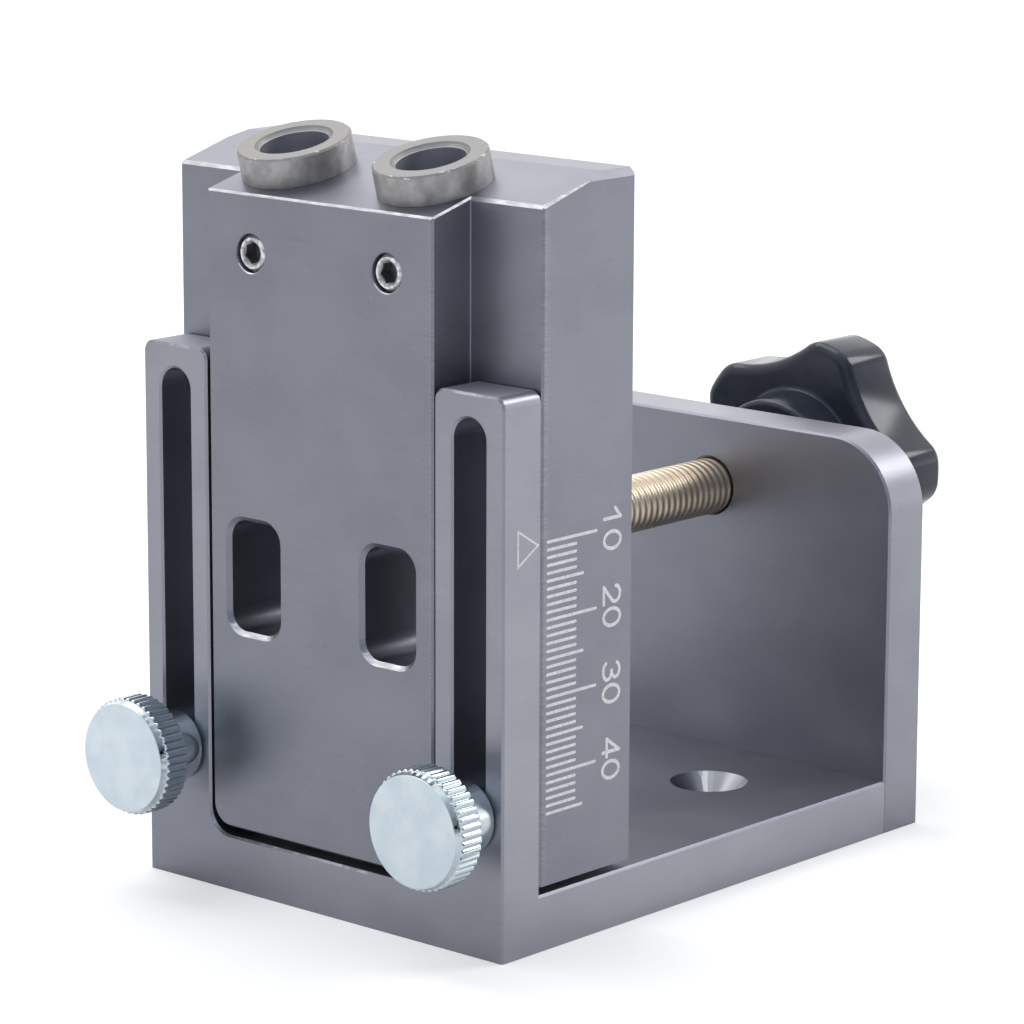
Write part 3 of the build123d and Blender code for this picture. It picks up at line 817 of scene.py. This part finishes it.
def skin(shape, rings):
    """Closes rings of corners, equal in number, into one solid with flat ends."""
    bands = [[shape.verts.new(corner) for corner in corners] for corners in rings]
    count = len(bands[0])
    for first, second in zip(bands, bands[1:]):
        for k in range(count):
            j = (k + 1) % count
            shape.faces.new((first[k], first[j], second[j], second[k]))
    shape.faces.new(bands[0])
    shape.faces.new(bands[-1][::-1])


def smooth_mesh(rings, name, sharp_angle):
    """Skin of rings, smooth except where its faces meet at more than this many degrees."""
    shape = bmesh.new()
    skin(shape, rings)
    mesh = mesh_from(shape, name)
    for face in mesh.polygons:
        face.use_smooth = True
    mesh.set_sharp_from_angle(angle=radians(sharp_angle))
    return mesh


def knurl_profile():
    """Knurled band as (length, radii): rounded ridges with sharp valleys, rounded at both ends."""
    ridges = [abs(sin(pi * k / STEPS_A_RIDGE)) for k in range(KNURL_CORNERS)]
    stations = [(KNURL_START + KNURL_END_ROUND * run, lift) for run, lift in KNURL_END_RISE]
    stations += [(HEAD_LENGTH - KNURL_END_ROUND * run, lift) for run, lift in KNURL_END_RISE[::-1]]
    height = KNURL_CREST - KNURL_ROOT
    return [
        (length, [KNURL_ROOT + height * ridge * lift for ridge in ridges])
        for length, lift in stations
    ]


def thumb_screw_mesh(node):
    """Flat face, smooth bevel, knurl, rounded collar and stud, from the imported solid's place."""
    low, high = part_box(node)
    centre_x, centre_z = (low[0] + high[0]) / 2, (low[2] + high[2]) / 2
    face_y, end = low[1], high[1] - low[1]
    before = [(0, FACE_RADIUS - FACE_FLAT), (0, FACE_RADIUS - EDGE_MARGIN)]
    before += round_run(0, FACE_RADIUS, FACE_EDGE_ROUND, 1, 3)
    after = [
        (HEAD_LENGTH, KNURL_ROOT - HEAD_BACK_FLAT),
        (HEAD_LENGTH, COLLAR_RADIUS + COLLAR_FILLET + EDGE_MARGIN),
    ]
    after += [
        (HEAD_LENGTH + COLLAR_FILLET * (1 - cos(t)), COLLAR_RADIUS + COLLAR_FILLET * (1 - sin(t)))
        for t in quarter_turn(5)
    ]
    after += round_run(COLLAR_END, COLLAR_RADIUS, COLLAR_ROUND, -1)
    after += [
        (COLLAR_END, STUD_RADIUS + EDGE_MARGIN),
        (COLLAR_END, STUD_RADIUS),
        (end - STUD_BEVEL, STUD_RADIUS),
        (end, STUD_RADIUS - STUD_BEVEL),
    ]
    profile = [(length, [radius] * KNURL_CORNERS) for length, radius in before]
    profile += knurl_profile()
    profile += [(length, [radius] * KNURL_CORNERS) for length, radius in after]
    rings = [ring(centre_x, face_y + length, centre_z, radii) for length, radii in profile]
    return smooth_mesh(rings, f"{node}_knurled", THUMB_SHARP_ANGLE)


def zinc_plate():
    """Blue-white zinc with pale clouds, pinholes and faint stains; behind the face it is polished
    and darkened with painted shade.
    """
    material, place = new_finish("zinc_plate")
    cloud = grain(place, (4.5, 4.5, 4.5), 4.0)
    stain = grain(place, (2.2, 2.2, 2.2), 3.0)
    blush = grain(place, (3.3, 3.3, 3.3), 2.0)
    pinhole = soft_step(grain(place, (0.3, 0.3, 0.3), 1.0), 0.72, 0.78)
    face_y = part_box("thumb_screw_left")[0][1]
    polished_and_shaded = soft_step(split(place)[1], face_y + 0.05 * MM, face_y + 0.12 * MM)
    colour = blend(soft_step(cloud, 0.34, 0.66), ZINC_BLUE, ZINC_WHITE)
    colour = blend(soft_step(stain, 0.58, 0.74) * 0.45, colour, ZINC_CREAM)
    colour = blend(soft_step(blush, 0.62, 0.76) * 0.35, colour, ZINC_PINK)
    colour = blend(pinhole * 0.35, colour, ZINC_PINHOLE)
    return close_finish(material, place, {
        # Behind the face: painted shade in the colour, a polish in the roughness.
        "Base Color": blend(polished_and_shaded * 0.30, colour, ZINC_SHADE),
        "Metallic": 0.97,
        "Roughness": 0.22 + cloud * 0.16 - polished_and_shaded * 0.13,
        "Normal": bumped(cloud * 0.5 + stain * 0.4 + pinhole * 0.1, 0.012, 0.4),
    })


thumb_zinc = zinc_plate()
for side in ("left", "right"):
    node = f"thumb_screw_{side}"
    mesh = thumb_screw_mesh(node)
    knurled = add_piece(f"{node}_knurled", mesh, thumb_zinc, f"thumb_{side}")
    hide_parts(node)


# Clamp screw
# Steel rod with a warm yellow plating and a shallow rolled M8 thread over its whole length.
# It runs in the back plate; the nose in front carries the pad and its clip.
YELLOW_ZINC_DARK = (0.60, 0.50, 0.38, 1)
YELLOW_ZINC_PALE = (0.72, 0.62, 0.50, 1)
THREAD_PITCH = 1.25 * MM
THREAD_DEPTH = 0.13 * MM
THREAD_FLAT = 0.06
END_BEVEL = 0.9 * MM
PAD_TO_SHOULDER = 0.15 * MM
NOSE_RADIUS = 2.75 * MM
GROOVE_RADIUS = 2.15 * MM
NOSE_BEVEL = 0.4 * MM
CLIP_SIDE_GAP = 0.05 * MM
CORNERS_AROUND = 72
STEPS_A_PITCH = 12
THREAD_SHARP_ANGLE = 38


def screw_axis():
    """Height of the clamp screw's axis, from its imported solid."""
    low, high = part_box("clamp_screw")
    return (low[2] + high[2]) / 2


def nose_profile(shoulder):
    """Radius at each station of the nose, from its tip to the shoulder, as (y, radius)."""
    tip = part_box("clamp_screw")[0][1]
    groove_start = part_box("pad_clip")[0][1] - CLIP_SIDE_GAP
    groove_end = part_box("pad_clip")[1][1] + CLIP_SIDE_GAP
    return [
        (tip, NOSE_RADIUS - NOSE_BEVEL),
        (tip + NOSE_BEVEL, NOSE_RADIUS),
        (groove_start, NOSE_RADIUS),
        (groove_start, GROOVE_RADIUS),
        (groove_end, GROOVE_RADIUS),
        (groove_end, NOSE_RADIUS),
        (shoulder, NOSE_RADIUS),
    ]


def thread_height(turns):
    """0 in the root and 1 on the crest of a rolled thread with rounded crests."""
    slope = 1 - abs(2 * (turns % 1.0) - 1)
    share = (slope - THREAD_FLAT) / (1 - 2 * THREAD_FLAT)
    return 0.5 - 0.5 * cos(pi * min(max(share, 0.0), 1.0))


def clamp_screw_mesh():
    """Turned nose and helical thread as one closed skin of rings."""
    low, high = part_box("clamp_screw")
    crest = (high[0] - low[0]) / 2
    root = crest - THREAD_DEPTH
    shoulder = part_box("clamp_pad")[1][1] + PAD_TO_SHOULDER
    thread_end = high[1]
    steps = round((thread_end - shoulder) / THREAD_PITCH * STEPS_A_PITCH)
    profile = [(y, [radius] * CORNERS_AROUND) for y, radius in nose_profile(shoulder)]
    shares = [k / CORNERS_AROUND for k in range(CORNERS_AROUND)]
    for step in range(steps + 1):
        y = shoulder + (thread_end - shoulder) * step / steps
        limit = crest - max(0.0, END_BEVEL - min(y - shoulder, thread_end - y))
        heights = [thread_height(y / THREAD_PITCH + share) for share in shares]
        profile.append((y, [min(root + THREAD_DEPTH * height, limit) for height in heights]))
    axis = screw_axis()
    rings = [ring(0, y, axis, radii) for y, radii in profile]
    return smooth_mesh(rings, "clamp_screw_threaded", THREAD_SHARP_ANGLE)


def yellow_zinc():
    """Warm plated steel with faint draw lines."""
    material, place = new_finish("yellow_zinc")
    cloud = grain(place, (4, 8, 4), 3.0)
    lines = grain(place, (0.25, 9, 0.25), 2.0)
    return close_finish(material, place, {
        "Base Color": blend(soft_step(cloud, 0.35, 0.65), YELLOW_ZINC_DARK, YELLOW_ZINC_PALE),
        "Metallic": 1.0,
        "Roughness": 0.34 + lines * 0.10,
        "Normal": bumped(lines, 0.01, 0.4),
    })


mesh = clamp_screw_mesh()
threaded = add_piece("clamp_screw_threaded", mesh, yellow_zinc(), "screw")
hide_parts("clamp_screw")


# Clamp pad, its facing and its clip
# A turned aluminium pad that swivels on the screw's nose, faced with a soft disc for the board.
# A dark spring clip in the nose's groove keeps it on.
PAD_DARK = (0.62, 0.63, 0.64, 1)
PAD_PALE = (0.76, 0.77, 0.78, 1)
FACING_BLACK = (0.022, 0.022, 0.024, 1)
FACING_DUSTY = (0.05, 0.05, 0.052, 1)
CLIP_GREY = (0.10, 0.10, 0.11, 1)
TOOL_RING_PITCH = 0.18 * MM


def turned_aluminium():
    """Plain turned aluminium with rings from the tool."""
    material, place = new_finish("turned_aluminium")
    x, y, z = split(place)
    turns = (from_axis(x, z - screw_axis()) + y) * (tau / TOOL_RING_PITCH)
    rings = place.node("ShaderNodeMath", {"operation": "SINE"}, {0: turns})
    haze = grain(place, (2, 2, 2), 3.0)
    return close_finish(material, place, {
        "Base Color": blend(soft_step(haze, 0.3, 0.7), PAD_DARK, PAD_PALE),
        "Metallic": 1.0,
        "Roughness": 0.28 + haze * 0.12,
        "Normal": bumped(rings * 0.5 + haze, 0.006, 0.5),
    })


def soft_facing():
    """Matt dark rubber with a fine pebble."""
    material, place = new_finish("facing_rubber")
    pebble = grain(place, (0.3, 0.3, 0.3), 2.0)
    dust = grain(place, (2.5, 2.5, 2.5), 3.0)
    return close_finish(material, place, {
        "Base Color": blend(soft_step(dust, 0.4, 0.8), FACING_BLACK, FACING_DUSTY),
        "Roughness": 0.70 + dust * 0.15,
        "Normal": bumped(pebble, 0.03, 0.7),
    })


def dark_steel(name, tone):
    """Dark finished steel with a slightly mottled coat."""
    material, place = new_finish(name)
    mottle = grain(place, (0.8, 0.8, 0.8), 3.0)
    pale = tuple(part * 1.7 for part in tone[:3]) + (1,)
    return close_finish(material, place, {
        "Base Color": blend(soft_step(mottle, 0.35, 0.7), tone, pale),
        "Metallic": 0.85,
        "Roughness": 0.34 + mottle * 0.16,
        "Normal": bumped(mottle, 0.01, 0.5),
    })


dress("clamp_pad", turned_aluminium())
dress("pad_facing", soft_facing())
dress("pad_clip", dark_steel("clip_steel", CLIP_GREY))


# Star knob with its insert
# Five-lobed knob moulded in glossy black plastic round a threaded brass bush.
# Its outline runs in tangent arcs: lobe, round and scallop; the brass shows only at the hub's end.
KNOB_BLACK = (0.021, 0.027, 0.042, 1)
KNOB_PALE = (0.028, 0.035, 0.053, 1)
BRASS_DARK = (0.60, 0.44, 0.20, 1)
BRASS_PALE = (0.72, 0.55, 0.28, 1)
LOBES = 5
LOBE_RADIUS = 18.75 * MM
LOBE_HALF_ANGLE = radians(4.3)
LOBE_ROUND = 3.75 * MM
ROUND_PLACE = 15.0 * MM
SCALLOP_RADIUS = 22.5 * MM
SCALLOP_PLACE = 37.8 * MM
EDGE_ROUND = 1.45 * MM
EDGE_FLAT = 0.25 * MM
KNOB_THICKNESS = 10.6 * MM
HUB_BASE_RADIUS = 11.0 * MM
HUB_TIP_RADIUS = 10.4 * MM
HUB_TIP_ROUND = 0.8 * MM
HUB_TIP_FLAT = 0.2 * MM
HUB_ROOT_ROUND = 0.5 * MM
INSERT_HOLE_RADIUS = 6.02 * MM
INSERT_HOLE_DEPTH = 12.02 * MM
DISH_RADIUS = 8.5 * MM
DISH_DEPTH = 0.8 * MM
KNOB_SHARP_ANGLE = 35


def half_lobe():
    """Outline from a lobe's middle to the next valley, as (angle, radius, way it faces)."""
    valley = pi / LOBES
    round_middle = Vector((cos(LOBE_HALF_ANGLE), sin(LOBE_HALF_ANGLE))) * ROUND_PLACE
    scallop_middle = Vector((cos(valley), sin(valley))) * SCALLOP_PLACE
    towards = scallop_middle - round_middle
    meeting = atan2(towards.y, towards.x)
    arcs = [
        (Vector((0, 0)), LOBE_RADIUS, 0, LOBE_HALF_ANGLE, 3),
        (round_middle, LOBE_ROUND, LOBE_HALF_ANGLE, meeting, 12),
        (scallop_middle, -SCALLOP_RADIUS, meeting, valley, 10),
    ]
    outline = []
    for middle, radius, start, end, steps in arcs:
        # Each arc leaves its last point to the next one, and the scallop keeps it.
        for step in range(steps + (end == valley)):
            angle = start + (end - start) * step / steps
            spot = middle + Vector((cos(angle), sin(angle))) * radius
            outline.append((atan2(spot.y, spot.x), spot.length, angle))
    return outline


def knob_outline():
    """The whole star: every half lobe, turned and mirrored."""
    half = half_lobe()
    whole = [(-angle, radius, -facing) for angle, radius, facing in half[-2:0:-1]] + half
    outline = []
    for lobe in range(LOBES):
        turn = tau * lobe / LOBES
        outline += [(angle + turn, radius, facing + turn) for angle, radius, facing in whole]
    return outline


def star_knob_mesh():
    """Hub, soft-edged star and rear dish as one closed skin of rings."""
    low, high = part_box("star_knob")
    tip_y, back_y = low[1], high[1]
    front_y = back_y - KNOB_THICKNESS
    axis = screw_axis()
    outline = knob_outline()

    def plain(y, radius):
        """Round ring, with a corner for each one of the star."""
        return [(radius * cos(a), y, axis + radius * sin(a)) for a, _, _ in outline]

    def star(y, inset):
        """Ring along the star's outline, drawn in by the inset."""
        return [
            (radius * cos(a) - inset * cos(f), y, axis + radius * sin(a) - inset * sin(f))
            for a, radius, f in outline
        ]

    hub = round_run(tip_y, HUB_TIP_RADIUS, HUB_TIP_ROUND, 1)
    hub += [
        (front_y - HUB_ROOT_ROUND * (1 - sin(t)), HUB_BASE_RADIUS + HUB_ROOT_ROUND * (1 - cos(t)))
        for t in quarter_turn(4)
    ]
    edge = [(EDGE_ROUND * (1 - sin(t)), EDGE_ROUND * (1 - cos(t))) for t in quarter_turn(7)]
    dish_y = back_y - DISH_DEPTH
    rings = [plain(tip_y + INSERT_HOLE_DEPTH, INSERT_HOLE_RADIUS)]
    rings += [plain(tip_y, INSERT_HOLE_RADIUS)]
    rings += [plain(tip_y, HUB_TIP_RADIUS - HUB_TIP_ROUND - HUB_TIP_FLAT)]
    rings += [plain(y, radius) for y, radius in hub]
    rings += [plain(front_y, HUB_BASE_RADIUS + HUB_ROOT_ROUND + EDGE_MARGIN)]
    rings += [star(front_y, EDGE_ROUND + EDGE_FLAT)]
    rings += [star(front_y + depth, inset) for inset, depth in edge]
    rings += [star(back_y - depth, inset) for inset, depth in edge[::-1]]
    rings += [star(back_y, EDGE_ROUND + EDGE_FLAT)]
    rings += [plain(back_y, DISH_RADIUS + DISH_DEPTH + EDGE_MARGIN)]
    rings += [plain(back_y, DISH_RADIUS + DISH_DEPTH)]
    rings += [plain(dish_y, DISH_RADIUS), plain(dish_y, DISH_RADIUS - EDGE_MARGIN)]
    return smooth_mesh(rings, "star_knob_moulded", KNOB_SHARP_ANGLE)


def black_plastic():
    """Glossy moulded plastic: almost black, faintly rippled, with light rub marks."""
    material, place = new_finish("black_plastic")
    ripple = grain(place, (3, 3, 3), 2.0)
    rub = grain(place, (0.5, 0.5, 0.5), 3.0)
    return close_finish(material, place, {
        "Base Color": blend(soft_step(ripple, 0.3, 0.7), KNOB_BLACK, KNOB_PALE),
        "Roughness": 0.17 + soft_step(rub, 0.55, 0.8) * 0.08,
        "Specular IOR Level": 0.34,
        "Normal": bumped(ripple * 0.8 + rub * 0.2, 0.015, 0.3),
    })


def insert_brass():
    """Turned brass."""
    material, place = new_finish("insert_brass")
    haze = grain(place, (1.5, 1.5, 1.5), 3.0)
    return close_finish(material, place, {
        "Base Color": blend(soft_step(haze, 0.3, 0.7), BRASS_DARK, BRASS_PALE),
        "Metallic": 1.0,
        "Roughness": 0.25 + haze * 0.15,
        "Normal": bumped(haze, 0.01, 0.4),
    })


knob = add_piece("star_knob_moulded", star_knob_mesh(), black_plastic(), "screw")
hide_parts("star_knob")
dress("knob_insert", insert_brass())


# Back plate screws
# Four small countersunk socket screws in black oxide, driven from behind into the floor.
BLACK_OXIDE = (0.035, 0.035, 0.038, 1)
dress("back_plate_screws", dark_steel("black_oxide", BLACK_OXIDE))
